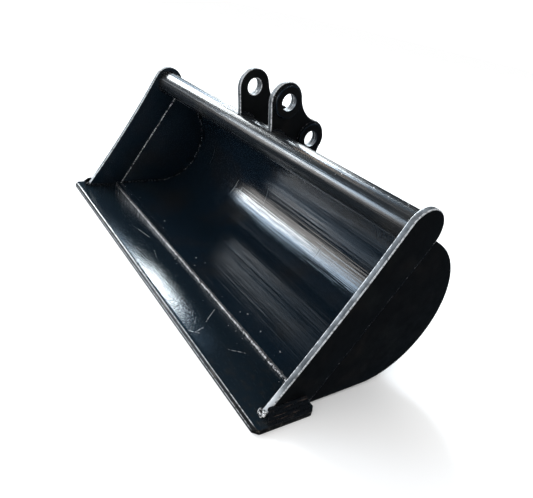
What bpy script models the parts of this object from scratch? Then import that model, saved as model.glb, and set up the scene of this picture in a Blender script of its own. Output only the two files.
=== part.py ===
"""Wide grading bucket for a mini excavator: a flat cutting edge, a rolled wrapper, two-piece
sides, a torque tube along the top lip and two hanger ears with raised pin bosses.

Metres, +Z up. X runs across the bucket, Y from the cutting edge towards the back. The bucket
stands on its cutting edge. Every side-on outline below is a list of (y, z) points measured from
the front of the cutting edge; one parent empty then centres the whole bucket on the origin.
"""

from math import acos, asin, atan2, cos, degrees, pi, radians, sin, sqrt

import bmesh
import bpy
from mathutils import Matrix, Vector

# Driving dimensions -----------------------------------------------------------------------------
GAP = 0.0003                  # working gap between pieces that touch
WIDTH = 1.000                 # over the outer faces of the side bars

BLADE_DEPTH = 0.130
BLADE_THICKNESS = 0.012
BLADE_OVERHANG = 0.022        # how far the blade stands out past each side
BLADE_CORNER = 0.010          # corners cut off in plan
LIP_BEVEL = 0.005             # bevel ground on the top of the front edge

TUBE_CENTRE = (0.262, 0.333)
TUBE_RADIUS = 0.03015
TUBE_WALL = 0.005

BAR_THICKNESS = 0.012
BAR_HALF_WIDTH = 0.044        # half the flat bar, and the radius of its round end
BAR_LEAN = 29.2               # degrees back from upright
BAR_FRONT_BOW = 0.006         # hollow of the front edge at its middle

PLATE_THICKNESS = 0.010       # side plates, flush with the bars on the inside
PLATE_PROUD = 0.010           # side plates stand out past the wrapper for the outside weld

WRAPPER_THICKNESS = 0.006
WRAPPER_LAP = 0.010           # the sheet lies this far on top of the blade
WRAPPER_CENTRE = (0.260, 0.164)
WRAPPER_RADIUS = 0.147        # outer face of the big curve
WRAPPER_CURVE_TOP = 65.0      # degrees above the horizontal where the curve turns straight

EAR_SPACING = 0.116           # clear gap between the ears
EAR_THICKNESS = 0.012
EAR_FRONT_LEAN = 13.8         # degrees, front edge of the ears, leaning forward
EAR_HOLLOW_RADIUS = 0.066     # hollow between the two lobes
EAR_HEEL = 35.0               # degrees above the horizontal where the ears end on the wrapper
LOBE_RADIUS = 0.040
PIN_UPPER = (0.273, 0.426)
PIN_LOWER = (0.359, 0.351)
PIN_BORE_RADIUS = 0.018
BOSS_RADIUS = 0.0335
BOSS_HEIGHT = 0.008
BOSS_CHAMFER = 0.0015

ROUND_STEPS = 72              # sides of a full circle
EPS = 1e-6

# Worked-out places ------------------------------------------------------------------------------
SIDE_INNER = WIDTH / 2 - BAR_THICKNESS
EAR_INNER = EAR_SPACING / 2
EAR_OUTER = EAR_INNER + EAR_THICKNESS


# Plane geometry on (y, z) -----------------------------------------------------------------------
def direction(angle):
    """Unit vector at an angle in degrees, counted from +Y towards +Z."""
    return Vector((cos(radians(angle)), sin(radians(angle))))


def angle_of(vector):
    return degrees(atan2(vector.y, vector.x))


def arc(centre, radius, start, end):
    """Points along an arc, both ends included."""
    steps = max(2, round(abs(end - start) / 360 * ROUND_STEPS))
    turn = (end - start) / steps
    return [Vector(centre) + radius * direction(start + turn * i) for i in range(steps + 1)]


def bowed(start, end, rise):
    """Points along a shallow arc that bows to the right of the line from start to end."""
    half = (end - start).length / 2
    radius = (half * half + rise * rise) / (2 * rise)
    across = (end - start).normalized()
    side = Vector((across.y, -across.x))
    centre = (start + end) / 2 - side * (radius - rise)
    half_turn = degrees(asin(half / radius))
    middle = angle_of(side)
    steps = 10
    return [centre + radius * direction(middle - half_turn + 2 * half_turn * i / steps)
            for i in range(steps + 1)]


def ray_to_circle(start, along, centre, radius):
    """First point where a ray meets a circle."""
    offset = start - Vector(centre)
    reach = -offset.dot(along)
    depth = offset.length_squared - radius * radius
    return start + along * (reach - sqrt(reach * reach - depth))


def tangent_angle(point, centre, radius, side):
    """Angle on a circle where the line from an outside point touches it; side is +1 or -1."""
    offset = point - Vector(centre)
    return angle_of(offset) + side * degrees(acos(radius / offset.length))


def wrapper_line(offset):
    """The wrapper's run from the blade to the torque tube, moved outwards by an offset."""
    start = Vector((BLADE_DEPTH - WRAPPER_LAP, BLADE_THICKNESS + GAP))
    to_centre = Vector(WRAPPER_CENTRE) - start
    floor_slope = angle_of(to_centre) - degrees(asin(WRAPPER_RADIUS / to_centre.length))
    start.y -= offset / cos(radians(floor_slope))
    curve = arc(WRAPPER_CENTRE, WRAPPER_RADIUS + offset, floor_slope - 90, WRAPPER_CURVE_TOP)
    end = ray_to_circle(curve[-1], direction(WRAPPER_CURVE_TOP + 90),
                        TUBE_CENTRE, TUBE_RADIUS + 2 * GAP)
    return [start] + curve + [end]


# Mesh building ----------------------------------------------------------------------------------
def new_object(name, mesh_data, material, parent):
    mesh = bpy.data.meshes.new(name)
    bmesh.ops.recalc_face_normals(mesh_data, faces=mesh_data.faces)
    mesh_data.to_mesh(mesh)
    mesh_data.free()
    mesh.materials.append(material)
    mesh.shade_smooth()
    mesh.set_sharp_from_angle(angle=radians(30))
    piece = bpy.data.objects.new(name, mesh)
    bpy.context.collection.objects.link(piece)
    piece.parent = parent
    return piece


def extrude_along_x(mesh_data, thickness):
    """Turn the flat faces of a mesh into a plate of one thickness along +X."""
    grown = bmesh.ops.extrude_face_region(mesh_data, geom=list(mesh_data.faces))
    moved = [item for item in grown["geom"] if isinstance(item, bmesh.types.BMVert)]
    bmesh.ops.translate(mesh_data, verts=moved, vec=(thickness, 0, 0))


def plate(name, outline, x_low, thickness, material, parent):
    """A flat plate across X, cut to a side-on outline."""
    mesh_data = bmesh.new()
    mesh_data.faces.new([mesh_data.verts.new((0, point.x, point.y)) for point in outline])
    extrude_along_x(mesh_data, thickness)
    piece = new_object(name, mesh_data, material, parent)
    piece.location.x = x_low
    return piece


def turned_ring(name, section, centre, material, parent):
    """A ring turned about X; the section is a list of (x, radius) points."""
    mesh_data = bmesh.new()
    verts = [mesh_data.verts.new((x, radius, 0)) for x, radius in section]
    edges = [mesh_data.edges.new((verts[i - 1], verts[i])) for i in range(len(verts))]
    bmesh.ops.spin(mesh_data, geom=verts + edges, cent=(0, 0, 0), axis=(1, 0, 0),
                   angle=2 * pi, steps=ROUND_STEPS, use_merge=True)
    bmesh.ops.remove_doubles(mesh_data, verts=mesh_data.verts, dist=EPS)
    piece = new_object(name, mesh_data, material, parent)
    piece.location = (0, centre[0], centre[1])
    return piece


def bore(piece, centre):
    """Cut a pin bore through a plate."""
    mesh_data = bmesh.new()
    bmesh.ops.create_cone(mesh_data, cap_ends=True, segments=ROUND_STEPS,
                          radius1=PIN_BORE_RADIUS, radius2=PIN_BORE_RADIUS,
                          depth=4 * EAR_THICKNESS, matrix=Matrix.Rotation(pi / 2, 4, "Y"))
    cutter = new_object(piece.name + "_cutter", mesh_data, piece.data.materials[0], piece.parent)
    cutter.location = (piece.location.x + EAR_THICKNESS / 2, centre[0], centre[1])
    cutter.hide_render = True
    cutter.display_type = "WIRE"
    cut = piece.modifiers.new("bore", "BOOLEAN")
    cut.operation = "DIFFERENCE"
    cut.object = cutter


# Materials --------------------------------------------------------------------------------------
def paint(name, colour, roughness, metallic):
    material = bpy.data.materials.new(name)
    material.use_nodes = True
    shader = material.node_tree.nodes["Principled BSDF"]
    shader.inputs["Base Color"].default_value = (*colour, 1)
    shader.inputs["Roughness"].default_value = roughness
    shader.inputs["Metallic"].default_value = metallic
    return material


# Pieces -----------------------------------------------------------------------------------------
def add_cutting_edge(material, parent):
    """Flat blade with cut corners and a bevel on the top of its front edge."""
    half = WIDTH / 2 + BLADE_OVERHANG
    corner = BLADE_CORNER
    plan = [(-half, corner), (-half + corner, 0), (half - corner, 0), (half, corner),
            (half, BLADE_DEPTH - corner), (half - corner, BLADE_DEPTH),
            (-half + corner, BLADE_DEPTH), (-half, BLADE_DEPTH - corner)]
    mesh_data = bmesh.new()
    face = mesh_data.faces.new([mesh_data.verts.new((x, y, 0)) for x, y in plan])
    grown = bmesh.ops.extrude_face_region(mesh_data, geom=[face])
    raised = [item for item in grown["geom"] if isinstance(item, bmesh.types.BMVert)]
    bmesh.ops.translate(mesh_data, verts=raised, vec=(0, 0, BLADE_THICKNESS))
    lip = [edge for edge in mesh_data.edges
           if all(vert.co.y < EPS and vert.co.z > EPS for vert in edge.verts)]
    bmesh.ops.bevel(mesh_data, geom=lip, offset=LIP_BEVEL, offset_type="OFFSET", segments=1,
                    profile=0.5, affect="EDGES")
    new_object("cutting_edge", mesh_data, material, parent)


def add_wrapper(material, parent):
    """The rolled sheet between the sides, from the blade's back edge to the torque tube."""
    outer = wrapper_line(0)
    inner = wrapper_line(-WRAPPER_THICKNESS)
    mesh_data = bmesh.new()
    rows = [[mesh_data.verts.new((0, point.x, point.y)) for point in line]
            for line in (outer, inner)]
    for i in range(len(outer) - 1):
        mesh_data.faces.new((rows[0][i], rows[0][i + 1], rows[1][i + 1], rows[1][i]))
    half = SIDE_INNER - GAP
    extrude_along_x(mesh_data, 2 * half)
    piece = new_object("wrapper", mesh_data, material, parent)
    piece.location.x = -half


def bar_edge_at(height, side, clearance=0.0):
    """Point on a long edge of the side bar at a height; side is -1 in front, +1 behind."""
    across = direction(-BAR_LEAN)
    start = Vector(TUBE_CENTRE) + across * side * (BAR_HALF_WIDTH + clearance)
    down = direction(-90 - BAR_LEAN)
    return start + down * ((start.y - height) / -down.y)


def add_side_bars(material, parent):
    """Flat bars on edge; each one's round end is concentric with the torque tube it closes."""
    foot = BLADE_THICKNESS + GAP
    nose = arc(TUBE_CENTRE, BAR_HALF_WIDTH, -BAR_LEAN, 180 - BAR_LEAN)
    front = bowed(nose[-1], bar_edge_at(foot, -1), -BAR_FRONT_BOW)
    outline = nose + front[1:] + [bar_edge_at(foot, +1)]
    for side, x_low in (("left", -WIDTH / 2), ("right", SIDE_INNER)):
        plate("side_bar_" + side, outline, x_low, BAR_THICKNESS, material, parent)


def add_side_plates(material, parent):
    """Plates that fill the sides behind the bars and follow the wrapper's curve."""
    lap, *outer = wrapper_line(PLATE_PROUD)[:-1]
    clear = (BLADE_DEPTH + GAP - lap.x) / (outer[0].x - lap.x)
    outer.insert(0, lap.lerp(outer[0], clear))
    nose_radius = BAR_HALF_WIDTH + 2 * GAP
    top = ray_to_circle(outer[-1], direction(WRAPPER_CURVE_TOP + 90), TUBE_CENTRE, nose_radius)
    nose = arc(TUBE_CENTRE, nose_radius, angle_of(top - Vector(TUBE_CENTRE)), -BAR_LEAN)
    outline = outer + nose + [bar_edge_at(BLADE_THICKNESS + GAP, +1, 2 * GAP)]
    for side, x_low in (("left", -SIDE_INNER - PLATE_THICKNESS), ("right", SIDE_INNER)):
        plate("side_plate_" + side, outline, x_low, PLATE_THICKNESS, material, parent)


def add_torque_tube(material, parent):
    half = SIDE_INNER - GAP
    section = [(-half, TUBE_RADIUS), (half, TUBE_RADIUS),
               (half, TUBE_RADIUS - TUBE_WALL), (-half, TUBE_RADIUS - TUBE_WALL)]
    turned_ring("torque_tube", section, TUBE_CENTRE, material, parent)


def ear_outline():
    """Two round lobes joined by a hollow, with a foot that saddles the tube and the wrapper."""
    upper = Vector(PIN_UPPER)
    lower = Vector(PIN_LOWER)
    between = lower - upper
    reach = LOBE_RADIUS + EAR_HOLLOW_RADIUS
    half = between.length / 2
    normal = Vector((-between.y, between.x)).normalized()
    hollow = (upper + lower) / 2 + normal * sqrt(reach * reach - half * half)
    to_upper = angle_of(hollow - upper)
    to_lower = angle_of(hollow - lower)

    saddle = TUBE_RADIUS + GAP * 2
    heel_points = arc(WRAPPER_CENTRE, WRAPPER_RADIUS + GAP * 2, EAR_HEEL, WRAPPER_CURVE_TOP)
    wrapper_top = ray_to_circle(heel_points[-1], direction(WRAPPER_CURVE_TOP + 90),
                                TUBE_CENTRE, saddle)
    front_angle = 180 + EAR_FRONT_LEAN
    front_top = upper + LOBE_RADIUS * direction(front_angle)
    front_foot = ray_to_circle(front_top, direction(front_angle + 90), TUBE_CENTRE, saddle)
    tube = Vector(TUBE_CENTRE)
    rear = tangent_angle(heel_points[0], PIN_LOWER, LOBE_RADIUS, +1)

    outline = arc(PIN_UPPER, LOBE_RADIUS, front_angle, to_upper)
    outline += arc(hollow, EAR_HOLLOW_RADIUS, to_upper - 180, to_lower - 180)[1:-1]
    outline += arc(PIN_LOWER, LOBE_RADIUS, to_lower, rear)
    outline += heel_points
    outline += arc(TUBE_CENTRE, saddle, angle_of(wrapper_top - tube), angle_of(front_foot - tube))
    return outline


def add_ears(material, parent):
    outline = ear_outline()
    for side, x_low in (("left", -EAR_OUTER), ("right", EAR_INNER)):
        ear = plate("ear_" + side, outline, x_low, EAR_THICKNESS, material, parent)
        bore(ear, PIN_UPPER)
        bore(ear, PIN_LOWER)


def add_bosses(material, parent):
    """Rings on the outer faces of the ears, which lengthen the pin bores."""
    foot = EAR_OUTER + GAP
    top = foot + BOSS_HEIGHT
    section = [(foot, PIN_BORE_RADIUS), (foot, BOSS_RADIUS), (top - BOSS_CHAMFER, BOSS_RADIUS),
               (top, BOSS_RADIUS - BOSS_CHAMFER), (top, PIN_BORE_RADIUS)]
    for side, sign in (("left", -1), ("right", 1)):
        for height, centre in (("upper", PIN_UPPER), ("lower", PIN_LOWER)):
            turned_ring("boss_" + height + "_" + side, [(sign * x, r) for x, r in section],
                        centre, material, parent)


def main():
    for old in list(bpy.data.objects):
        bpy.data.objects.remove(old, do_unlink=True)

    black = paint("black_paint", (0.015, 0.016, 0.018), 0.25, 0.0)
    worn = paint("worn_black_paint", (0.04, 0.042, 0.045), 0.4, 0.2)

    bucket = bpy.data.objects.new("bucket", None)
    bpy.context.collection.objects.link(bucket)
    depth = max(point.x for point in wrapper_line(PLATE_PROUD))
    bucket.location.y = -depth / 2

    add_cutting_edge(worn, bucket)
    add_wrapper(black, bucket)
    add_side_bars(black, bucket)
    add_side_plates(black, bucket)
    add_torque_tube(black, bucket)
    add_ears(black, bucket)
    add_bosses(black, bucket)


main()
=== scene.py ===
"""Looks of the wide grading bucket: rounded plates, a rolled wrapper, weld beads and black paint.

Every piece is modelled like its CAD solid: X across the bucket, Y back from the front of the
cutting edge, Z up from its underside, and then set in place by ORIGIN.
"""
from math import acos, asin, atan2, ceil, cos, degrees, pi, radians, sin, sqrt

import bmesh
import bpy
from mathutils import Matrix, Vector, noise


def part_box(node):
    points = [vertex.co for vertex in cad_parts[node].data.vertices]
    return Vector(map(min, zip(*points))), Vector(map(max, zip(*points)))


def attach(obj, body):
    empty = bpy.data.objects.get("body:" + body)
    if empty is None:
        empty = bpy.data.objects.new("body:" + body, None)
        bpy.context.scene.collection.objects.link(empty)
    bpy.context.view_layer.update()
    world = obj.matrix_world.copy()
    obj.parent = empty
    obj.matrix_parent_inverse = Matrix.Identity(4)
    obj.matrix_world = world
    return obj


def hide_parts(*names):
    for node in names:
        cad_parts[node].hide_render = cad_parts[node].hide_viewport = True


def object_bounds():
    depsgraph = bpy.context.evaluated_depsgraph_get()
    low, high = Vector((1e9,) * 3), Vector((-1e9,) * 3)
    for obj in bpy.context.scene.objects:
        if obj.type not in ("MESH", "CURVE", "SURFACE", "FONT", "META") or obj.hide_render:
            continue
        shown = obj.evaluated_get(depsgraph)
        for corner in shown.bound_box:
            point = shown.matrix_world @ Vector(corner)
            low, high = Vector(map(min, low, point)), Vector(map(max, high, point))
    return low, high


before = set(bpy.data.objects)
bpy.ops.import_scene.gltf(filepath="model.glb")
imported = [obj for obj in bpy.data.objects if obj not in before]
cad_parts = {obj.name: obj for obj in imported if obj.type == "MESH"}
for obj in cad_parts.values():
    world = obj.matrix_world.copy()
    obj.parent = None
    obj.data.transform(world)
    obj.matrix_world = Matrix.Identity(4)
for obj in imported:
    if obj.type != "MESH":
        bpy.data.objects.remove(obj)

CAD_LOW, CAD_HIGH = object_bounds()
ORIGIN = Vector((0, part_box("cutting_edge")[0].y, 0))

# Driving dimensions, in metres, as in the CAD model ---------------------------------------------
GAP = 0.0003
WIDTH = 2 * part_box("side_bar_right")[1].x
BLADE_DEPTH = 0.130
BLADE_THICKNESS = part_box("cutting_edge")[1].z
BLADE_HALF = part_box("cutting_edge")[1].x
BLADE_CORNER = 0.010
LIP_BEVEL = 0.005
TUBE_CENTRE = (0.262, 0.333)
TUBE_RADIUS = 0.03015
TUBE_WALL = 0.005
BAR_THICKNESS = 0.012
BAR_HALF_WIDTH = 0.044
BAR_LEAN = 29.2
BAR_FRONT_HOLLOW = 0.006
PLATE_THICKNESS = 0.010
PLATE_PROUD = 0.010
WRAPPER_THICKNESS = 0.006
WRAPPER_LAP = 0.010
WRAPPER_CENTRE = (0.260, 0.164)
WRAPPER_RADIUS = 0.147
WRAPPER_CURVE_TOP = 65.0
EAR_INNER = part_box("ear_right")[0].x
EAR_THICKNESS = 0.012
EAR_OUTER = EAR_INNER + EAR_THICKNESS
EAR_FRONT_LEAN = 13.8
EAR_HOLLOW_RADIUS = 0.066
EAR_HEEL = 35.0
LOBE_RADIUS = 0.040
PIN_UPPER = (0.273, 0.426)
PIN_LOWER = (0.359, 0.351)
PIN_BORE_RADIUS = 0.018
BOSS_RADIUS = 0.0335
BOSS_HEIGHT = 0.008
SIDE_INNER = WIDTH / 2 - BAR_THICKNESS

# Wear and surface, in metres
PLATE_ROUND = 0.0018          # worn corner of a flame-cut plate
BLADE_ROUND = 0.0008          # worn corner of the blade
BOSS_ROUND = 0.0015           # rounded outer rim of a boss
BORE_CHAMFER = 0.0008         # at the mouth of a boss
LIP_WEAR = 0.0016             # worn off the top of the blade at its front
LIP_WEAR_DEPTH = 0.060        # how far back from the front that wear reaches
LIP_WEAR_POWER = 1.6          # steeper towards the front
SHEET_WAVE = 0.00006          # height of the rolling marks in the wrapper
PAINT_IOR = 1.75              # thick enamel, which mirrors more than thin paint

# Fineness of the visible surface
ROUND_STEPS = 180             # sides of a full circle
HOLLOW_STEPS = 40             # along the bars' front edge
SHEET_STEP = 0.004            # along the wrapper's curve, in metres
SHEET_CELLS = 122             # across the wrapper
TUBE_LENGTHS = 120            # along the tube
ROUND_CUTS = 3                # round a plate's corner
RIM_CUTS = 4                  # round a boss's rim
LIP_CUTS = 14                 # across the worn front of the blade
BEAD_STEP = 0.0011            # along a bead, in metres
BEAD_SECTION = 8              # across a bead
SHARP_ANGLE = 42              # degrees; shallower edges are shaded smooth

# Welds
FOOT_PASSES = 4               # in each stack outside a bar's foot
PASS_OVERLAP = 0.04           # of a stack's slope
BEAD_TAPER = 0.004            # length over which a bead's ends run out
FLOOR_DROPS = 46              # spatter near the floor weld
TUBE_DROPS = 16               # spatter on the tube

# Studio
LIGHT_DISTANCE = 8.0
CAMERA_PLACE = (0.9025, -0.6059, 0.6018)
CAMERA_TURN = (59.617, -11.071, 58.326)   # degrees
CAMERA_LENS = 32.33
CAMERA_SENSOR = 36.0
CAMERA_SHIFT = 0.0469


# Plane geometry on (y, z) -----------------------------------------------------------------------
def direction(angle):
    """Unit vector at an angle in degrees, counted from +Y towards +Z."""
    return Vector((cos(radians(angle)), sin(radians(angle))))


def angle_of(vector):
    """Angle of a vector in degrees, counted like direction()."""
    return degrees(atan2(vector.y, vector.x))


def arc(centre, radius, start, end):
    """Points along an arc, both ends included."""
    steps = max(2, round(abs(end - start) / 360 * ROUND_STEPS))
    turn = (end - start) / steps
    return [Vector(centre) + radius * direction(start + turn * i) for i in range(steps + 1)]


def hollowed(start, end, depth):
    """Points from start to end along a shallow arc that dips to the left of the line."""
    half = (end - start).length / 2
    radius = (half * half + depth * depth) / (2 * depth)
    across = (end - start).normalized()
    side = Vector((-across.y, across.x))
    centre = (start + end) / 2 - side * (radius - depth)
    half_turn = degrees(asin(half / radius))
    middle = angle_of(side)
    return [centre + radius * direction(middle + half_turn - 2 * half_turn * i / HOLLOW_STEPS)
            for i in range(HOLLOW_STEPS + 1)]


def ray_to_circle(start, along, centre, radius):
    """First point where a ray meets a circle."""
    offset = start - Vector(centre)
    reach = -offset.dot(along)
    depth = offset.length_squared - radius * radius
    return start + along * (reach - sqrt(reach * reach - depth))


def tangent_angle(point, centre, radius, side):
    """Angle on a circle where the line from an outside point touches it; side is +1 or -1."""
    offset = point - Vector(centre)
    return angle_of(offset) + side * degrees(acos(radius / offset.length))


def wrapper_line(offset):
    """The wrapper's run from the blade to the torque tube, moved outwards by an offset."""
    start = Vector((BLADE_DEPTH - WRAPPER_LAP, BLADE_THICKNESS + GAP))
    to_centre = Vector(WRAPPER_CENTRE) - start
    floor_slope = angle_of(to_centre) - degrees(asin(WRAPPER_RADIUS / to_centre.length))
    start.y -= offset / cos(radians(floor_slope))
    curve = arc(WRAPPER_CENTRE, WRAPPER_RADIUS + offset, floor_slope - 90, WRAPPER_CURVE_TOP)
    end = ray_to_circle(curve[-1], direction(WRAPPER_CURVE_TOP + 90),
                        TUBE_CENTRE, TUBE_RADIUS + 2 * GAP)
    return [start] + curve + [end]


def bar_edge_at(height, side, clearance=0.0):
    """Point on a long edge of the side bar at a height; side is -1 in front, +1 behind."""
    across = direction(-BAR_LEAN)
    start = Vector(TUBE_CENTRE) + across * side * (BAR_HALF_WIDTH + clearance)
    down = direction(-90 - BAR_LEAN)
    return start + down * ((start.y - height) / -down.y)


def resampled(line, step):
    """The same line with evenly spaced points."""
    lengths = [0.0]
    for a, b in zip(line, line[1:]):
        lengths.append(lengths[-1] + (b - a).length)
    count = max(2, ceil(lengths[-1] / step))
    points, leg = [], 0
    for i in range(count + 1):
        reach = lengths[-1] * i / count
        while leg < len(line) - 2 and lengths[leg + 1] < reach:
            leg += 1
        share = (reach - lengths[leg]) / (lengths[leg + 1] - lengths[leg])
        points.append(line[leg].lerp(line[leg + 1], share))
    return points


def left_normals(line):
    """Unit normals to the left of an open line, one for each of its points."""
    found = []
    for i in range(len(line)):
        along = line[min(i + 1, len(line) - 1)] - line[max(i - 1, 0)]
        found.append(Vector((-along.y, along.x)).normalized())
    return found


def inset(outline, distance):
    """A closed outline moved inwards; a negative distance moves it outwards."""
    area = sum(a.x * b.y - b.x * a.y for a, b in zip(outline, outline[1:] + outline[:1]))
    turn = 1 if area > 0 else -1
    moved = []
    for i, point in enumerate(outline):
        before = (point - outline[i - 1]).normalized()
        after = (outline[(i + 1) % len(outline)] - point).normalized()
        normal_a = Vector((-before.y, before.x)) * turn
        normal_b = Vector((-after.y, after.x)) * turn
        share = max(1 + normal_a.dot(normal_b), 0.4)
        moved.append(point + (normal_a + normal_b) * (distance / share))
    return moved


# Materials --------------------------------------------------------------------------------------
class Nodes:
    """A material's node tree, with short calls for the nodes used here."""

    def __init__(self, name):
        self.material = bpy.data.materials.new(name)
        self.material.use_nodes = True
        self.tree = self.material.node_tree
        self.shader = self.tree.nodes["Principled BSDF"]
        self.place = self.tree.nodes.new("ShaderNodeTexCoord").outputs["Object"]

    def fill(self, node, inputs):
        for key, value in inputs.items():
            if isinstance(value, bpy.types.NodeSocket):
                self.tree.links.new(value, node.inputs[key])
            else:
                node.inputs[key].default_value = value

    def set(self, **inputs):
        self.fill(self.shader, {key.replace("_", " "): value for key, value in inputs.items()})

    def stretched(self, scale, shift=(0, 0, 0)):
        node = self.tree.nodes.new("ShaderNodeMapping")
        self.fill(node, {"Vector": self.place, "Scale": scale, "Location": shift})
        return node.outputs["Vector"]

    def noise(self, scale, detail=3.0, place=None, distortion=0.0):
        node = self.tree.nodes.new("ShaderNodeTexNoise")
        self.fill(node, {"Vector": place or self.place, "Scale": scale, "Detail": detail,
                         "Distortion": distortion})
        return node.outputs["Fac"]

    def ranged(self, value, low, high, new_low=0.0, new_high=1.0):
        """A value's range moved to another one, and kept inside it."""
        node = self.tree.nodes.new("ShaderNodeMapRange")
        self.fill(node, {0: value, 1: low, 2: high, 3: new_low, 4: new_high})
        return node.outputs[0]

    def math(self, operation, a, b=0.0):
        node = self.tree.nodes.new("ShaderNodeMath")
        node.operation = operation
        self.fill(node, {0: a, 1: b})
        return node.outputs[0]

    def mixed(self, share, a, b):
        node = self.tree.nodes.new("ShaderNodeMix")
        node.data_type = "RGBA"
        sockets = {socket.identifier: socket for socket in node.inputs}
        for key, value in (("Factor_Float", share), ("A_Color", a), ("B_Color", b)):
            if isinstance(value, bpy.types.NodeSocket):
                self.tree.links.new(value, sockets[key])
            else:
                sockets[key].default_value = value if key == "Factor_Float" else (*value, 1)
        return next(socket for socket in node.outputs if socket.identifier == "Result_Color")

    def bump(self, height, distance, strength=1.0, under=None):
        node = self.tree.nodes.new("ShaderNodeBump")
        self.fill(node, {"Height": height, "Distance": distance, "Strength": strength})
        if under:
            self.fill(node, {"Normal": under})
        return node.outputs["Normal"]

    def dot(self, vector, axis):
        node = self.tree.nodes.new("ShaderNodeVectorMath")
        node.operation = "DOT_PRODUCT"
        self.fill(node, {0: vector, 1: axis})
        return node.outputs["Value"]

    def scratch(self, start, end, width):
        """1 along one wandering scratch on a face that looks up, 0 elsewhere."""
        line = Vector(end) - Vector(start)
        along = line.normalized()
        across = Vector((-along.y, along.x, 0))
        wander = self.math("MULTIPLY", self.noise(40, 2), 0.004)
        off = self.math("ADD", self.dot(self.place, across), wander)
        off = self.math("SUBTRACT", off, Vector(start).dot(across) + 0.002)
        thin = self.ranged(self.math("ABSOLUTE", off), width * 0.5, width, 1, 0)
        travel = self.math("SUBTRACT", self.dot(self.place, along), Vector(start).dot(along))
        inside = self.ranged(self.math("ABSOLUTE", self.math("SUBTRACT", travel, line.length / 2)),
                             line.length * 0.42, line.length * 0.5, 1, 0)
        broken = self.ranged(self.noise(160, 1), 0.38, 0.5)
        return self.math("MULTIPLY", self.math("MULTIPLY", thin, inside), broken)


def gloss_black(name, dark, dust, smooth, rough, scored):
    """Glossy black paint over rolled or drawn steel, with streaks along X and a little dust.

    scored adds a few dull lines across the streaks, where a load has rubbed.
    """
    n = Nodes(name)
    streaks = n.noise(1.0, 4, n.stretched((2.5, 190, 190)))
    fine = n.noise(1.0, 2, n.stretched((14, 900, 900)))
    haze = n.ranged(n.noise(7, 4), 0.50, 0.75)
    dusty = n.mixed(haze, dark, dust)
    dull = n.ranged(streaks, 0.3, 0.75, smooth, rough)
    if scored:
        across = n.math("SUBTRACT", n.noise(1, 1, n.stretched((9, 0.7, 0.7), (0.37, 0, 0))), 0.5)
        score = n.ranged(n.math("ABSOLUTE", across), 0.0015, 0.0045, 0.30, 0)
        above_floor = n.ranged(n.dot(n.place, (0, 0, 1)), 0.06, 0.10)
        patches = n.math("MULTIPLY", n.ranged(n.noise(6, 2), 0.50, 0.56), above_floor)
        dull = n.math("ADD", dull, n.math("MULTIPLY", score, patches))
    n.set(Base_Color=dusty, Roughness=dull, IOR=PAINT_IOR)
    waves = n.bump(n.noise(1.0, 2, n.stretched((1.6, 55, 55))), 0.0008, 0.5)
    rolled = n.bump(streaks, 0.00075, 1.0, waves)
    grain = n.bump(fine, 0.00004, 0.6, rolled)
    n.set(Normal=n.bump(n.noise(430, 2), 0.00012, 0.5, grain))
    return n.material


def side_black():
    """Sides and ears: thinner, flatter black paint with faint rust and oil mottling."""
    n = Nodes("side_black_paint")
    mottle = n.ranged(n.noise(16, 5, distortion=0.6), 0.50, 0.78)
    green = n.ranged(n.noise(9, 4, n.stretched((1, 1, 1), (3, 1, 2))), 0.55, 0.8)
    base = n.mixed(mottle, (0.0030, 0.0032, 0.0036), (0.0090, 0.0068, 0.0055))
    n.set(Base_Color=n.mixed(green, base, (0.0058, 0.0078, 0.0070)),
          Roughness=n.ranged(n.noise(55, 4), 0.3, 0.7, 0.34, 0.52),
          Specular_IOR_Level=0.30)
    n.set(Normal=n.bump(n.noise(380, 3), 0.00010, 0.5, n.bump(n.noise(24, 3), 0.0012, 0.35)))
    return n.material


def cut_edge():
    """Flame-cut edges: thin grey paint, rubbed through at the corners, with drag lines; the grey is
    also a painted highlight.
    """
    n = Nodes("grey_edge_painted_highlight")
    lines = n.noise(1.0, 3, n.stretched((30, 420, 420)))
    patches = n.ranged(n.noise(60, 5), 0.40, 0.66)
    # The edge's colour turns pale towards the foot.
    lighter_towards_foot = n.ranged(n.dot(n.place, (0, 0, 1)), 0.040, 0.060, 0.7, 0)
    # The grey base colour is partly worn paint and partly a painted highlight on the edges.
    paint = n.mixed(patches, (0.060, 0.067, 0.075), (0.150, 0.160, 0.170))
    n.set(Base_Color=n.mixed(lighter_towards_foot, paint, (0.60, 0.62, 0.64)),
          Metallic=0.35,
          Roughness=n.ranged(lines, 0.3, 0.7, 0.30, 0.55))
    n.set(Normal=n.bump(lines, 0.0002, 0.45, n.bump(n.noise(240, 3), 0.00015, 0.5)))
    return n.material


def worn_and_highlit_corner(name, dark, bright, dark_ends):
    """Corners worn to bright steel, and a painted highlight; dark_ends keeps them black at the ends
    of the blade.
    """
    n = Nodes(name)
    worn_and_highlit_share = n.ranged(n.noise(210, 4), 0.36, 0.52)
    if dark_ends:
        off_end = n.ranged(n.math("ABSOLUTE", n.dot(n.place, (1, 0, 0))), BLADE_HALF - 0.022,
                           BLADE_HALF - 0.010, 1, 0.04)
        worn_and_highlit_share = n.math("MULTIPLY", worn_and_highlit_share, off_end)
    # The bright colour is partly worn steel and partly a painted highlight where the corners catch
    # light.
    n.set(Base_Color=n.mixed(worn_and_highlit_share, dark, bright),
          Metallic=0.35,
          Roughness=n.ranged(n.noise(130, 3), 0.3, 0.7, 0.26, 0.46))
    n.set(Normal=n.bump(n.noise(300, 3), 0.00015, 0.5))
    return n.material


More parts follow.
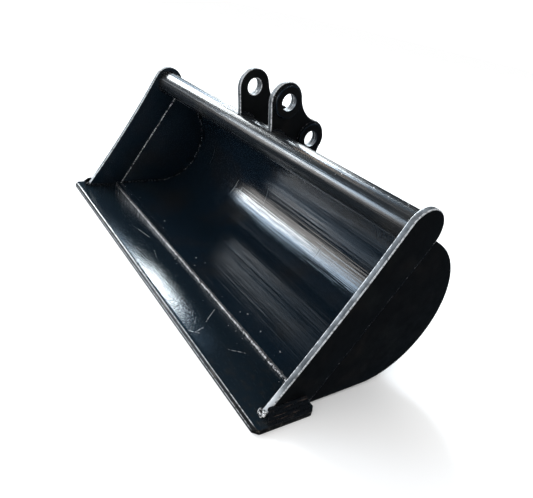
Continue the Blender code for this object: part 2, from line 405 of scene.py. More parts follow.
def blade_black():
    """Top of the cutting edge: glossy paint with orange peel, scratches and scuffs."""
    n = Nodes("blade_black_paint")
    peel = n.noise(240, 3, distortion=0.4)
    coarse = n.noise(70, 3)
    marks = None
    for start, end in (((0.205, 0.100, 0), (0.245, 0.052, 0)),
                       ((0.255, 0.046, 0), (0.262, 0.020, 0)),
                       ((0.268, 0.030, 0), (0.252, 0.012, 0)),
                       ((-0.20, 0.070, 0), (-0.13, 0.088, 0)),
                       ((0.330, 0.060, 0), (0.352, 0.088, 0))):
        mark = n.scratch(start, end, 0.0007)
        marks = mark if marks is None else n.math("MAXIMUM", marks, mark)
    hairs = n.ranged(n.noise(1.0, 2, n.stretched((40, 900, 10), (0.2, 0.5, 0))), 0.66, 0.72)
    near_end = n.ranged(n.dot(n.place, (1, 0, 0)), 0.22, 0.46)
    scuffs = n.math("MULTIPLY", n.ranged(n.noise(60, 6, distortion=0.5), 0.50, 0.72), near_end)
    # The blue tint in the blade's black base colour is a painted sky reflection.
    base = n.mixed(scuffs, (0.0058, 0.0108, 0.0158), (0.012, 0.014, 0.015))
    base = n.mixed(n.math("MULTIPLY", hairs, 0.35), base, (0.05, 0.055, 0.06))
    haze = n.ranged(n.noise(1.0, 3, n.stretched((9, 60, 9))), 0.45, 0.75, 0, 0.05)
    rough = n.math("ADD", haze, n.ranged(coarse, 0.3, 0.7, 0.025, 0.06))
    rough = n.math("ADD", rough, n.math("MULTIPLY", scuffs, 0.25))
    n.set(Base_Color=n.mixed(marks, base, (0.42, 0.43, 0.44)), Roughness=rough)
    n.set(Normal=n.bump(peel, 0.00045, 0.85, n.bump(coarse, 0.0008, 0.16)))
    return n.material


def blade_lip():
    """Ground bevel and ends of the cutting edge: black, chipped through here and there."""
    n = Nodes("chipped_blade_lip")
    worn = n.ranged(n.noise(1.0, 5, n.stretched((30, 160, 160))), 0.56, 0.68)
    n.set(Base_Color=n.mixed(worn, (0.0050, 0.0050, 0.0052), (0.075, 0.066, 0.055)),
          Metallic=0.2,
          Roughness=n.ranged(n.noise(90, 4), 0.3, 0.7, 0.26, 0.5),
          Specular_IOR_Level=0.35)
    n.set(Normal=n.bump(n.noise(260, 3), 0.0002, 0.5))
    return n.material


def bare_weld_painted_glints(name, on_floor):
    """Silvery weld metal with dark scale, its bright flecks partly painted glints; on the floor it
    fades to the left and upwards.
    """
    n = Nodes(name)
    bright_from = 0.44 if on_floor else 0.49
    flecks = n.ranged(n.noise(230, 2, distortion=0.8), bright_from, bright_from + 0.07, 0.02, 1)
    shine = n.math("MULTIPLY", flecks, n.ranged(n.noise(520, 2), 0.36, 0.46, 0.15, 1))
    if on_floor:
        left_end = n.ranged(n.dot(n.place, (1, 0, 0)), -0.47, -0.25, 0.15, 1)
        foot = n.ranged(n.dot(n.place, (0, 0, 1)), BLADE_THICKNESS + 0.0030,
                        BLADE_THICKNESS + 0.0052, 1, 0.05)
        shine = n.math("MULTIPLY", shine, n.math("MULTIPLY", left_end, foot))
    # The bright fleck colour is partly bare metal and partly a painted glint of light.
    n.set(Base_Color=n.mixed(shine, (0.012, 0.012, 0.014), (0.95, 0.95, 0.96)),
          Metallic=0.25,
          Roughness=n.ranged(shine, 0, 1, 0.80, 0.35),
          Specular_IOR_Level=0.15)
    n.set(Normal=n.bump(n.noise(420, 3), 0.0003, 0.6))
    return n.material


def painted_weld(name, crest_colour, crest_share, grain=(240, 240, 240)):
    """Beads under the black paint, lighter on their crests: partly rubbed, partly a painted
    highlight.
    """
    n = Nodes(name)
    crest = n.math("MULTIPLY", n.ranged(n.noise(1, 4, n.stretched(grain)), 0.60, 0.70), crest_share)
    n.set(Base_Color=n.mixed(crest, (0.0035, 0.0045, 0.0060), crest_colour),
          Metallic=n.math("MULTIPLY", crest, 0.6),
          Roughness=n.ranged(n.noise(120, 3), 0.3, 0.7, 0.16, 0.34))
    n.set(Normal=n.bump(n.noise(500, 3), 0.00015, 0.5))
    return n.material


def pale_floor():
    """A matt, almost white floor."""
    n = Nodes("pale_floor")
    shade = n.ranged(n.noise(3, 3), 0.3, 0.7)
    n.set(Base_Color=n.mixed(shade, (0.94, 0.94, 0.94), (0.96, 0.96, 0.96)),
          Roughness=0.8,
          Specular_IOR_Level=0.0)
    return n.material


# The blue tint in INNER's black base colour is a painted sky reflection; its second colour is dust.
INNER = gloss_black("gloss_black_paint", (0.0044, 0.0092, 0.0150), (0.0110, 0.0115, 0.0120),
                    0.04, 0.14, scored=True)
TUBE = gloss_black("tube_black_paint", (0.0080, 0.0100, 0.0120), (0.026, 0.024, 0.021),
                   0.14, 0.34, scored=False)
SIDES = side_black()
EDGE = cut_edge()
# Bright corners: worn steel and a painted highlight together.
CORNER = worn_and_highlit_corner("worn_steel_and_highlight_corner", (0.16, 0.165, 0.17), (0.72, 0.74, 0.76), False)
BLADE = blade_black()
RIM = worn_and_highlit_corner("blade_rim", (0.010, 0.010, 0.011), (0.58, 0.60, 0.62), True)
LIP = blade_lip()
WELD = bare_weld_painted_glints("silvery_weld_painted_glints", on_floor=True)
SEAM_WELD = bare_weld_painted_glints("silvery_seam_weld_painted_glints", on_floor=False)
# Light crest colours are partly rubbed paint and partly painted highlights; DARK_WELD's brown
# streaks are faint painted highlights.
PAINTED_WELD = painted_weld("painted_weld", (0.30, 0.30, 0.31), 0.5)
RUBBED_HIGHLIT_WELD = painted_weld("rubbed_weld_painted_highlight", (0.55, 0.55, 0.56), 0.9)
DARK_WELD = painted_weld("dark_weld", (0.12, 0.085, 0.07), 0.5, (500, 30, 500))


# Mesh building ----------------------------------------------------------------------------------
def finished(name, mesh_data, materials, replaced=None):
    """Makes the object, sets it in place and ties it to the frame."""
    bmesh.ops.recalc_face_normals(mesh_data, faces=mesh_data.faces)
    mesh = bpy.data.meshes.new(name)
    mesh_data.to_mesh(mesh)
    mesh_data.free()
    for material in materials:
        mesh.materials.append(material)
    mesh.set_sharp_from_angle(angle=radians(SHARP_ANGLE))
    piece = bpy.data.objects.new(name, mesh)
    bpy.context.collection.objects.link(piece)
    piece.location = ORIGIN
    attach(piece, "root")
    if replaced:
        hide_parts(replaced)
    return piece


def bridge(mesh_data, ring_a, ring_b, slot, closed=True):
    """Faces between two rings, or between two rows where closed is false."""
    count = len(ring_a)
    for i in range(count if closed else count - 1):
        j = (i + 1) % count
        face = mesh_data.faces.new((ring_a[i], ring_a[j], ring_b[j], ring_b[i]))
        face.smooth = True
        face.material_index = slot


def rounded_plate(name, outline, holes, x_low, thickness, materials, replaced):
    """A plate across X with worn corners; materials: left face, edges, corners, right face."""
    mesh_data = bmesh.new()
    turns = [radians(90) * k / ROUND_CUTS for k in range(ROUND_CUTS + 1)]
    low_side = [(x_low + PLATE_ROUND * (1 - cos(t)), PLATE_ROUND * (1 - sin(t))) for t in turns]
    high_side = [(2 * x_low + thickness - x, depth) for x, depth in reversed(low_side)]
    levels = low_side + high_side
    rims = {0: [], len(levels) - 1: []}
    for loop, sign in [(outline, 1)] + [(hole, -1) for hole in holes]:
        rings = []
        for x, depth in levels:
            points = inset(loop, sign * depth)
            rings.append([mesh_data.verts.new((x, p.x, p.y)) for p in points])
        for k in range(len(rings) - 1):
            bridge(mesh_data, rings[k], rings[k + 1], 1 if k == ROUND_CUTS else 2)
        for k, edges in rims.items():
            ring = rings[k]
            edges += [mesh_data.edges.get((ring[i - 1], ring[i])) for i in range(len(ring))]
    for k, edges in rims.items():
        filled = bmesh.ops.triangle_fill(mesh_data, edges=edges, use_beauty=True)
        for face in filled["geom"]:
            if isinstance(face, bmesh.types.BMFace):
                face.smooth = False
                face.material_index = 3 if k else 0
    finished(name, mesh_data, materials, replaced)


def turned(name, section, centre, materials, slots, replaced):
    """A ring turned about X; section is (x, radius) points, slots a material for each step."""
    mesh_data = bmesh.new()
    rings = []
    for x, radius in section:
        rings.append([mesh_data.verts.new((x, centre[0] + radius * cos(2 * pi * i / ROUND_STEPS),
                                           centre[1] + radius * sin(2 * pi * i / ROUND_STEPS)))
                      for i in range(ROUND_STEPS)])
    for k in range(len(rings)):
        bridge(mesh_data, rings[k - 1], rings[k], slots[k])
    return finished(name, mesh_data, materials, replaced)


# Main pieces ------------------------------------------------------------------------------------
def worn_drop(y):
    """How far the blade's top has worn down at a distance from its front."""
    return LIP_WEAR * max(0.0, 1 - y / LIP_WEAR_DEPTH) ** LIP_WEAR_POWER


def add_cutting_edge():
    """Flat blade with cut corners, a ground front lip, a worn front and rubbed corners."""
    half, corner = BLADE_HALF, BLADE_CORNER
    plan = [(-half, corner), (-half + corner, 0), (half - corner, 0), (half, corner),
            (half, BLADE_DEPTH - corner), (half - corner, BLADE_DEPTH),
            (-half + corner, BLADE_DEPTH), (-half, BLADE_DEPTH - corner)]
    mesh_data = bmesh.new()
    face = mesh_data.faces.new([mesh_data.verts.new((x, y, 0)) for x, y in plan])
    grown = bmesh.ops.extrude_face_region(mesh_data, geom=[face])
    raised = [item for item in grown["geom"] if isinstance(item, bmesh.types.BMVert)]
    bmesh.ops.translate(mesh_data, verts=raised, vec=(0, 0, BLADE_THICKNESS))
    lip = [edge for edge in mesh_data.edges
           if all(vert.co.y < GAP and vert.co.z > GAP for vert in edge.verts)]
    bmesh.ops.bevel(mesh_data, geom=lip, offset=LIP_BEVEL, offset_type="OFFSET", segments=1,
                    profile=0.5, affect="EDGES")
    bmesh.ops.recalc_face_normals(mesh_data, faces=mesh_data.faces)
    for face in mesh_data.faces:
        face.material_index = 0 if abs(face.normal.z) > 0.99 else 1
    bmesh.ops.bevel(mesh_data, geom=list(mesh_data.edges), offset=BLADE_ROUND,
                    offset_type="OFFSET", segments=2, profile=0.5, affect="EDGES", material=2)
    for k in range(1, LIP_CUTS + 1):
        everything = list(mesh_data.verts) + list(mesh_data.edges) + list(mesh_data.faces)
        cut = LIP_BEVEL + (LIP_WEAR_DEPTH - LIP_BEVEL) * k / LIP_CUTS
        bmesh.ops.bisect_plane(mesh_data, geom=everything, dist=1e-6, plane_no=(0, 1, 0),
                               plane_co=(0, cut, 0))
    for vert in mesh_data.verts:
        if vert.co.z > BLADE_THICKNESS / 2:
            vert.co.z -= worn_drop(vert.co.y)
    for face in mesh_data.faces:
        face.smooth = face.material_index != 1
    finished("cutting_edge_fine", mesh_data, [BLADE, LIP, RIM],
             "cutting_edge")


def add_wrapper():
    """The rolled sheet, with the faint waves that the rolls leave in it."""
    outer = resampled(wrapper_line(0), SHEET_STEP)
    normals = left_normals(outer)
    inner_run = resampled(wrapper_line(-WRAPPER_THICKNESS), SHEET_STEP)
    last = len(outer) - 1
    half = SIDE_INNER - GAP
    mesh_data = bmesh.new()
    inner_rows, outer_rows = [], []
    for i in range(last + 1):
        reach = i / last * (len(inner_run) - 1)
        k = min(int(reach), len(inner_run) - 2)
        inner = inner_run[k].lerp(inner_run[k + 1], reach - k)
        fade = min(1, i / 6, (last - i) / 6)
        inner_row, outer_row = [], []
        for j in range(SHEET_CELLS + 1):
            x = -half + 2 * half * j / SHEET_CELLS
            wave = noise.noise(Vector((x * 3.0, i * SHEET_STEP * 42, 0.5))) * SHEET_WAVE * fade
            point = inner + normals[i] * wave
            inner_row.append(mesh_data.verts.new((x, point.x, point.y)))
            outer_row.append(mesh_data.verts.new((x, outer[i].x, outer[i].y)))
        inner_rows.append(inner_row)
        outer_rows.append(outer_row)
    for i in range(last):
        bridge(mesh_data, inner_rows[i], inner_rows[i + 1], 0, closed=False)
        bridge(mesh_data, outer_rows[i + 1], outer_rows[i], 1, closed=False)
    for i in (0, last):
        bridge(mesh_data, inner_rows[i], outer_rows[i], 2, closed=False)
    for j in (0, SHEET_CELLS):
        bridge(mesh_data, [row[j] for row in inner_rows], [row[j] for row in outer_rows], 2,
               closed=False)
    finished("wrapper_fine", mesh_data, [INNER, SIDES, EDGE], "wrapper")


def bar_outline():
    """A flat bar on edge: round at the tube, hollowed a little in front, cut off at the blade."""
    foot = BLADE_THICKNESS + GAP
    nose = arc(TUBE_CENTRE, BAR_HALF_WIDTH, -BAR_LEAN, 180 - BAR_LEAN)
    front = hollowed(nose[-1], bar_edge_at(foot, -1), BAR_FRONT_HOLLOW)
    return nose + front[1:] + [bar_edge_at(foot, +1)]


def side_plate_outline():
    """The plate behind a bar, which follows the wrapper a little outside it."""
    lap, *outer = wrapper_line(PLATE_PROUD)[:-1]
    clear = (BLADE_DEPTH + GAP - lap.x) / (outer[0].x - lap.x)
    outer.insert(0, lap.lerp(outer[0], clear))
    nose_radius = BAR_HALF_WIDTH + 2 * GAP
    top = ray_to_circle(outer[-1], direction(WRAPPER_CURVE_TOP + 90), TUBE_CENTRE, nose_radius)
    nose = arc(TUBE_CENTRE, nose_radius, angle_of(top - Vector(TUBE_CENTRE)), -BAR_LEAN)
    return outer + nose + [bar_edge_at(BLADE_THICKNESS + GAP, +1, 2 * GAP)]


def add_sides():
    """The bars and plates that close both ends, glossy inside and flatter outside."""
    bar, filler = bar_outline(), side_plate_outline()
    for side, bar_low, plate_low, left, right in (
            ("left", -WIDTH / 2, -SIDE_INNER - PLATE_THICKNESS, SIDES, INNER),
            ("right", SIDE_INNER, SIDE_INNER, INNER, SIDES)):
        rounded_plate("side_bar_" + side + "_fine", bar, [], bar_low, BAR_THICKNESS,
                      [left, EDGE, CORNER, right], "side_bar_" + side)
        rounded_plate("side_plate_" + side + "_fine", filler, [], plate_low, PLATE_THICKNESS,
                      [left, SIDES, SIDES, right], "side_plate_" + side)


def add_torque_tube():
    """The tube, in short lengths so that its drawn surface can wander a little."""
    half = SIDE_INNER - GAP
    outside = [(-half + 2 * half * k / TUBE_LENGTHS, TUBE_RADIUS) for k in range(TUBE_LENGTHS + 1)]
    inside = [(half, TUBE_RADIUS - TUBE_WALL), (-half, TUBE_RADIUS - TUBE_WALL)]
    section = outside + inside
    piece = turned("torque_tube_fine", section, TUBE_CENTRE, [TUBE], [0] * len(section),
                   "torque_tube")
    for vert in piece.data.vertices:
        out = Vector((0, vert.co.y - TUBE_CENTRE[0], vert.co.z - TUBE_CENTRE[1]))
        wave = noise.noise(Vector((vert.co.x * 5, out.y * 30, out.z * 30)))
        vert.co -= out.normalized() * (0.5 + 0.5 * wave) * SHEET_WAVE


def ear_outline():
    """Two round lobes joined by a hollow, with a foot that saddles the tube and the wrapper."""
    upper = Vector(PIN_UPPER)
    lower = Vector(PIN_LOWER)
    between = lower - upper
    reach = LOBE_RADIUS + EAR_HOLLOW_RADIUS
    half = between.length / 2
    normal = Vector((-between.y, between.x)).normalized()
    hollow = (upper + lower) / 2 + normal * sqrt(reach * reach - half * half)
    to_upper = angle_of(hollow - upper)
    to_lower = angle_of(hollow - lower)
    saddle = ear_saddle()
    rear = tangent_angle(saddle[0], PIN_LOWER, LOBE_RADIUS, +1)
    outline = arc(PIN_UPPER, LOBE_RADIUS, 180 + EAR_FRONT_LEAN, to_upper)
    outline += arc(hollow, EAR_HOLLOW_RADIUS, to_upper - 180, to_lower - 180)[1:-1]
    outline += arc(PIN_LOWER, LOBE_RADIUS, to_lower, rear)
    return outline + saddle


def ear_saddle():
    """The ears' foot: from the heel along the wrapper, then round the tube to its front."""
    saddle_radius = TUBE_RADIUS + GAP * 2
    heel_points = arc(WRAPPER_CENTRE, WRAPPER_RADIUS + GAP * 2, EAR_HEEL, WRAPPER_CURVE_TOP)
    wrapper_top = ray_to_circle(heel_points[-1], direction(WRAPPER_CURVE_TOP + 90),
                                TUBE_CENTRE, saddle_radius)
    front_angle = 180 + EAR_FRONT_LEAN
    front_top = Vector(PIN_UPPER) + LOBE_RADIUS * direction(front_angle)
    front_foot = ray_to_circle(front_top, direction(front_angle + 90), TUBE_CENTRE,
                               saddle_radius)
    tube = Vector(TUBE_CENTRE)
    return heel_points + arc(TUBE_CENTRE, saddle_radius, angle_of(wrapper_top - tube),
                             angle_of(front_foot - tube))


def add_ears():
    """The two hanger plates, with their pin bores."""
    outline = ear_outline()
    bores = [arc(centre, PIN_BORE_RADIUS, 0, 360)[:-1] for centre in (PIN_UPPER, PIN_LOWER)]
    for side, x_low in (("left", -EAR_OUTER), ("right", EAR_INNER)):
        rounded_plate("ear_" + side + "_fine", outline, bores, x_low, EAR_THICKNESS,
                      [SIDES, EDGE, CORNER, SIDES], "ear_" + side)


def add_bosses():
    """Rings with rounded outer rims, on the outer faces of the ears."""
    foot = EAR_OUTER + GAP
    top = foot + BOSS_HEIGHT
    rim = [(top - BOSS_ROUND + BOSS_ROUND * sin(radians(90) * k / RIM_CUTS),
            BOSS_RADIUS - BOSS_ROUND + BOSS_ROUND * cos(radians(90) * k / RIM_CUTS))
           for k in range(RIM_CUTS + 1)]
    mouth = [(top, PIN_BORE_RADIUS + BORE_CHAMFER), (top - BORE_CHAMFER, PIN_BORE_RADIUS)]
    section = [(foot, PIN_BORE_RADIUS), (foot, BOSS_RADIUS)] + rim + mouth
    slots = [2] + [0, 0] + [1] * RIM_CUTS + [0, 1]
    for side, sign in (("left", -1), ("right", 1)):
        for height, centre in (("upper", PIN_UPPER), ("lower", PIN_LOWER)):
            name = "boss_" + height + "_" + side
            turned(name + "_fine", [(sign * x, r) for x, r in section], centre,
                   [SIDES, INNER, EDGE], slots, name)


# Weld beads -------------------------------------------------------------------------------------
def bead(name, path, bulge, material, ripple=0.30, pitch=0.0042, wander=0.16, rough=0.22,
         seed=0.0):
    """A closed, rippled bead. path holds (foot_a, foot_b, outward) for points along the seam."""
    mesh_data = bmesh.new()
    rings, reach = [], 0.0
    last = len(path) - 1
    total = sum((path[i][0] - path[i - 1][0]).length for i in range(1, last + 1))
    for i, (foot_a, foot_b, out) in enumerate(path):
        if i:
            reach += (foot_a - path[i - 1][0]).length
        end = min(1.0, (reach + 0.0006) / BEAD_TAPER, (total - reach + 0.0006) / BEAD_TAPER)
        size = sqrt(max(end, 0.02))
        middle = (foot_a + foot_b) / 2
        slide = noise.noise(Vector((reach * 55, seed, 1.0))) * wander
        spread = size * (1 + wander * noise.noise(Vector((reach * 120, seed, 2.0))))
        half = (foot_b - foot_a) / 2
        ring = []
        for k in range(BEAD_SECTION + 1):
            u = -1 + 2 * k / BEAD_SECTION
            phase = (reach + 0.0024 * u * u) / pitch + 0.3 * noise.noise(
                Vector((reach * 150, seed, 3.0)))
            wave = (phase % 1.0) ** 0.7
            lump = noise.noise(Vector((reach * 420, u * 2, seed + 5)))
            rise = bulge * size * cos(u * pi / 2) ** 0.7 * (1 - ripple + ripple * wave * 2
                                                            + rough * lump)
            ring.append(mesh_data.verts.new(middle + half * (u * spread + slide * (1 - u * u))
                                            + out * rise))
        ring.append(mesh_data.verts.new(middle - out * 0.0008))
        rings.append(ring)
    for i in range(last):
        bridge(mesh_data, rings[i], rings[i + 1], 0)
    mesh_data.faces.new(rings[0])
    mesh_data.faces.new(rings[-1])
    finished(name, mesh_data, [material])


def straight(start, end, to_a, to_b, out):
    """A straight seam as a bead path; to_a and to_b reach from the seam to the bead's feet."""
    start, end = Vector(start), Vector(end)
    steps = max(3, ceil((end - start).length / BEAD_STEP))
    path = []
    for i in range(steps + 1):
        point = start.lerp(end, i / steps)
        path.append((point + Vector(to_a), point + Vector(to_b), Vector(out).normalized()))
    return path


def along_line(line, x, side, leg, outward):
    """A fillet between a plate face at x and a surface whose side-on line is given.

    side is the way along X from the seam over the surface; outward tells on which side of the
    line, left (+1) or right (-1), the bead lies.
    """
    points = resampled(line, BEAD_STEP)
    path = []
    for point, normal in zip(points, left_normals(points)):
        lift = normal * outward
        seam = Vector((x, point.x, point.y))
        rise = Vector((0, lift.x, lift.y))
        across = Vector((side, 0, 0))
        path.append((seam + across * leg, seam + rise * leg, (across + rise).normalized()))
    return path


def add_floor_weld():
    """Blade to wrapper, on the floor of the bucket, and its fellow underneath."""
    seam = BLADE_DEPTH - WRAPPER_LAP
    half = SIDE_INNER - 0.001
    path = straight((-half, seam, BLADE_THICKNESS), (half, seam, BLADE_THICKNESS),
                    (0, -0.0036, 0.0001), (0, 0.0012, WRAPPER_THICKNESS + 0.0004), (0, -1, 1.1))
    bead("weld_floor", path, 0.0014, WELD, ripple=0.5, pitch=0.0042, wander=0.60, seed=1)
    path = straight((-half, BLADE_DEPTH, BLADE_THICKNESS), (half, BLADE_DEPTH, BLADE_THICKNESS),
                    (0, 0, -0.005), (0, 0.006, 0.0011), (0, 1, -1))
    bead("weld_floor_under", path, 0.0010, PAINTED_WELD, seed=2)


def add_tube_welds():
    """Wrapper to tube, inside and outside, and the tube's ends to the side bars."""
    half = SIDE_INNER - 0.001
    for name, offset, turn in (("outside", 0.0, 1), ("inside", -WRAPPER_THICKNESS, -1)):
        end = wrapper_line(offset)[-1]
        away = direction(WRAPPER_CURVE_TOP - 90)
        spoke = (end - Vector(TUBE_CENTRE)).normalized()
        round_tube = Vector((-spoke.y, spoke.x)) * turn
        foot_a, foot_b = away * 0.004, round_tube * 0.0038 - spoke * 0.0004
        out = (away + round_tube).normalized()
        path = straight((-half, *end), (half, *end), (0, *foot_a), (0, *foot_b), (0, *out))
        bead("weld_tube_" + name, path, 0.0012, PAINTED_WELD, seed=3 + turn)
    for side, sign in (("left", -1), ("right", 1)):
        ring = arc(TUBE_CENTRE, TUBE_RADIUS, -80, 280)
        path = along_line(ring, sign * SIDE_INNER, -sign, 0.0042, -1)
        bead("weld_tube_end_" + side, path, 0.0010, PAINTED_WELD, seed=6 + sign)


def add_side_welds():
    """Bars to side plates, and the wrapper's curve to the side plates, inside and outside."""
    inner_line = wrapper_line(-WRAPPER_THICKNESS)
    outer_line = wrapper_line(0)
    top = Vector(TUBE_CENTRE) + direction(-BAR_LEAN) * BAR_HALF_WIDTH
    foot = bar_edge_at(BLADE_THICKNESS + WRAPPER_THICKNESS, +1)
    across = direction(-BAR_LEAN)
    for side, sign in (("left", -1), ("right", 1)):
        x = sign * SIDE_INNER
        path = straight((x, *top), (x, *foot), (0, *(across * -0.0017)), (0, *(across * 0.0017)),
                        (-sign, 0, 0))
        bead("weld_seam_" + side, path, 0.0011, SEAM_WELD,
             ripple=0.6, pitch=0.0050, wander=0.45, seed=9 + sign)
        path = straight((sign * WIDTH / 2, *top), (sign * WIDTH / 2, *foot),
                        (0, *(across * -0.0026)), (-sign * 0.0019, *(across * 0.0032)),
                        (sign, 0, 0))
        bead("weld_seam_outside_" + side, path, 0.0008, PAINTED_WELD, seed=60 + sign)
        path = along_line(inner_line, x, -sign, 0.0032, +1)
        bead("weld_curve_inside_" + side, path, 0.0008, RUBBED_HIGHLIT_WELD, seed=12 + sign)
        path = along_line(outer_line[1:], x, -sign, 0.0060, -1)
        bead("weld_curve_outside_" + side, path, 0.0012, PAINTED_WELD, seed=15 + sign)


def add_foot_welds():
    """Bars to the blade: a fillet inside, a stack of passes outside and a blob in front."""
    front = bar_edge_at(BLADE_THICKNESS, -1).x
    seam = BLADE_DEPTH - WRAPPER_LAP
    top = BLADE_THICKNESS
    for side, sign in (("left", -1), ("right", 1)):
        x = sign * SIDE_INNER
        path = straight((x, front, top), (x, seam, top), (-sign * 0.004, 0, 0), (0, 0, 0.004),
                        (-sign, 0, 1))
        bead("weld_foot_inside_" + side, path, 0.0009, PAINTED_WELD, seed=18 + sign)
        stack_foot, stack_top = BLADE_HALF - WIDTH / 2 - 0.0012, 0.0185
        x = sign * WIDTH / 2
        for k in range(FOOT_PASSES):
            low, high = k / FOOT_PASSES - PASS_OVERLAP, (k + 1) / FOOT_PASSES + PASS_OVERLAP
            foot_a = (sign * stack_foot * (1 - low), 0, stack_top * low)
            foot_b = (sign * stack_foot * (1 - high), 0, stack_top * high)
            path = straight((x, front - 0.005 + 0.002 * k, top),
                            (x, BLADE_DEPTH - 0.009 - 0.001 * k, top),
                            foot_a, foot_b, (sign, 0, 1))
            bead("weld_foot_pass_" + str(k + 1) + "_" + side, path, 0.0024, DARK_WELD,
                 ripple=0.08, pitch=0.006, wander=0.03, rough=0.03, seed=21 + 3 * k + sign)
        middle = sign * (WIDTH / 2 - BAR_THICKNESS / 2)
        path = straight((middle - 0.009, front, top), (middle + 0.009, front, top),
                        (0, -0.0075, 0), (0, 0.003, 0.0075), (0, -1, 1))
        bead("weld_foot_front_" + side, path, 0.0030, SEAM_WELD if sign > 0 else PAINTED_WELD,
             ripple=0.5, wander=0.35, seed=40 + sign)


def add_ear_welds():
    """Fillets round the feet of the ears and round the bosses."""
    saddle = ear_saddle()
    for side, sign in (("left", -1), ("right", 1)):
        for face, x, way in (("inner", EAR_INNER, -1), ("outer", EAR_OUTER, 1)):
            path = along_line(saddle, sign * x, sign * way, 0.0048, -1)
            bead("weld_ear_" + face + "_" + side, path, 0.0011, PAINTED_WELD,
                 seed=44 + sign + 3 * way)
        for height, centre in (("upper", PIN_UPPER), ("lower", PIN_LOWER)):
            ring = arc(centre, BOSS_RADIUS, 0, 360)
            path = along_line(ring, sign * EAR_OUTER, sign, 0.0026, -1)
            bead("weld_boss_" + height + "_" + side, path, 0.0006, PAINTED_WELD,
                 seed=50 + sign + centre[0])


def add_spatter():
    """Small frozen drops of weld metal near the seams."""
    mesh_data = bmesh.new()
    places = []
    for i in range(FLOOR_DROPS):
        spot = noise.random_unit_vector()
        x = spot.x * 0.47
        off = 0.014 + abs(spot.y) ** 2 * 0.05
        y = BLADE_DEPTH - WRAPPER_LAP + (off if spot.z > -0.2 else -off)
        places.append((Vector((x, y, floor_height(y))), Vector((0, 0, 1))))
    for i in range(TUBE_DROPS):
        spot = noise.random_unit_vector()
        turn = 95 + spot.y * 40
        out = direction(turn)
        at = Vector(TUBE_CENTRE) + out * TUBE_RADIUS
        places.append((Vector((0.30 + spot.x * 0.16, *at)), Vector((0, *out))))
    for i, (place, out) in enumerate(places):
        size = 0.0007 + 0.0008 * abs(noise.noise(Vector((i * 1.7, 0.3, 0))))
        made = bmesh.ops.create_icosphere(mesh_data, subdivisions=2, radius=size)
        lean = out.to_track_quat("Z", "Y")
        for vert in made["verts"]:
            bump = 1 + 0.25 * noise.noise(vert.co * 900 + Vector((i, 0, 0)))
            flat = Vector((vert.co.x * bump, vert.co.y * bump, vert.co.z * 0.6))
            vert.co = place + lean @ flat
    for face in mesh_data.faces:
        face.smooth = True
    finished("weld_spatter", mesh_data, [SEAM_WELD])


def floor_height(y):
    """Height of the blade's top or of the wrapper's inner face at a distance from the front."""
    if y < BLADE_DEPTH - WRAPPER_LAP:
        return BLADE_THICKNESS
    line = wrapper_line(-WRAPPER_THICKNESS)
    for a, b in zip(line, line[1:]):
        if a.x <= y <= b.x:
            return a.y + (b.y - a.y) * (y - a.x) / (b.x - a.x)
    return BLADE_THICKNESS


# Studio -----------------------------------------------------------------------------------------
def add_floor():
    """The plain floor that the bucket stands on."""
    mesh_data = bmesh.new()
    bmesh.ops.create_grid(mesh_data, x_segments=8, y_segments=8, size=30)
    mesh = bpy.data.meshes.new("floor")
    mesh_data.to_mesh(mesh)
    mesh_data.free()
    mesh.materials.append(pale_floor())
    floor = bpy.data.objects.new("floor", mesh)
    bpy.context.collection.objects.link(floor)
    floor.location.z = CAD_LOW.z
    floor.visible_glossy = False


def add_light(name, azimuth, elevation, width, height, radiance, colour, distance=LIGHT_DISTANCE):
    """A soft panel that faces the bucket from a compass direction, its width level."""
    turn, rise = radians(azimuth), radians(elevation)
    back = Vector((sin(turn) * cos(rise), -cos(turn) * cos(rise), sin(rise)))
    data = bpy.data.lights.new(name, "AREA")
    data.shape = "RECTANGLE"
    data.size = width
    data.size_y = height
    data.energy = radiance * pi * width * height
    data.color = colour
    light = bpy.data.objects.new(name, data)
    bpy.context.collection.objects.link(light)
    middle = (CAD_LOW + CAD_HIGH) / 2
    light.location = middle + back * distance
    light.rotation_mode = "QUATERNION"
    light.rotation_quaternion = back.to_track_quat("Z", "Y")
    return light


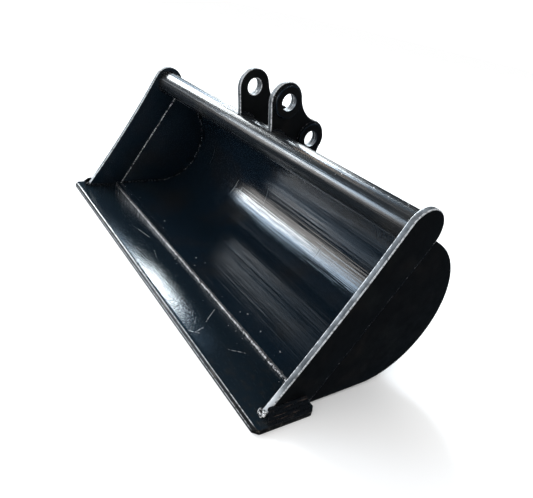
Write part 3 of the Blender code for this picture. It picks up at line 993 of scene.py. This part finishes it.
def add_lights():
    """Windows and walls as the paint mirrors them, and a weak ceiling to open the shadows."""
    add_light("window_front_blue", -43.5, 20.8, 3.6, 1.4, 6.5, (0.62, 0.80, 1.0))
    add_light("window_front_core", -48.5, 14.0, 2.1, 0.6, 21.0, (0.92, 0.97, 1.0))
    add_light("window_front_edge", -36, 14.0, 1.6, 0.6, 5.0, (0.80, 0.90, 1.0))
    add_light("window_front_glow", -43, 5.0, 3.6, 1.9, 2.8, (1.0, 0.96, 0.92))
    add_light("window_rear_left", -117.5, 36.3, 2.2, 1.9, 30.0, (0.86, 0.95, 1.0))
    add_light("sky_rear_left", -115, 47, 2.8, 1.8, 1.5, (0.35, 0.62, 0.95))
    add_light("sky_left", -108, 28, 1.5, 1.6, 4.0, (0.60, 0.80, 1.0))
    add_light("wall_left", -86, 24, 2.2, 3.4, 20.0, (0.93, 0.98, 1.0))
    add_light("wall_rear_left", -128, 17, 3.0, 2.5, 4.0, (0.93, 0.98, 1.0))
    add_light("lamp_left", -90, 48, 0.8, 0.45, 12.0, (1.0, 0.80, 0.62))
    overhead = add_light("ceiling", 0, 90, 5.0, 5.0, 0.20, (1.0, 1.0, 1.0), distance=4.5)
    overhead.visible_glossy = False


def add_world():
    """Pale to the eye, dark to the gloss of the paint."""
    world = bpy.data.worlds.new("studio")
    bpy.context.scene.world = world
    world.use_nodes = True
    world.cycles.sampling_method = "NONE"
    tree = world.node_tree
    pale = tree.nodes["Background"]
    pale.inputs["Color"].default_value = (1.0, 1.0, 1.0, 1)
    pale.inputs["Strength"].default_value = 1.05
    dark = tree.nodes.new("ShaderNodeBackground")
    dark.inputs["Color"].default_value = (0.55, 0.75, 1.0, 1)
    dark.inputs["Strength"].default_value = 0.055
    ray = tree.nodes.new("ShaderNodeLightPath")
    mix = tree.nodes.new("ShaderNodeMixShader")
    tree.links.new(ray.outputs["Is Glossy Ray"], mix.inputs[0])
    tree.links.new(pale.outputs[0], mix.inputs[1])
    tree.links.new(dark.outputs[0], mix.inputs[2])
    tree.links.new(mix.outputs[0], tree.nodes["World Output"].inputs["Surface"])


def add_camera():
    data = bpy.data.cameras.new("camera")
    data.sensor_width = CAMERA_SENSOR
    data.lens = CAMERA_LENS
    data.shift_x = CAMERA_SHIFT
    data.shift_y = CAMERA_SHIFT
    camera = bpy.data.objects.new("camera", data)
    bpy.context.collection.objects.link(camera)
    camera.location = CAMERA_PLACE
    camera.rotation_euler = [radians(turn) for turn in CAMERA_TURN]
    bpy.context.scene.camera = camera


noise.seed_set(7)
add_cutting_edge()
add_wrapper()
add_sides()
add_torque_tube()
add_ears()
add_bosses()
add_floor_weld()
add_tube_welds()
add_side_welds()
add_foot_welds()
add_ear_welds()
add_spatter()
add_floor()
add_lights()
add_world()
add_camera()
bpy.context.scene.view_settings.view_transform = "Standard"
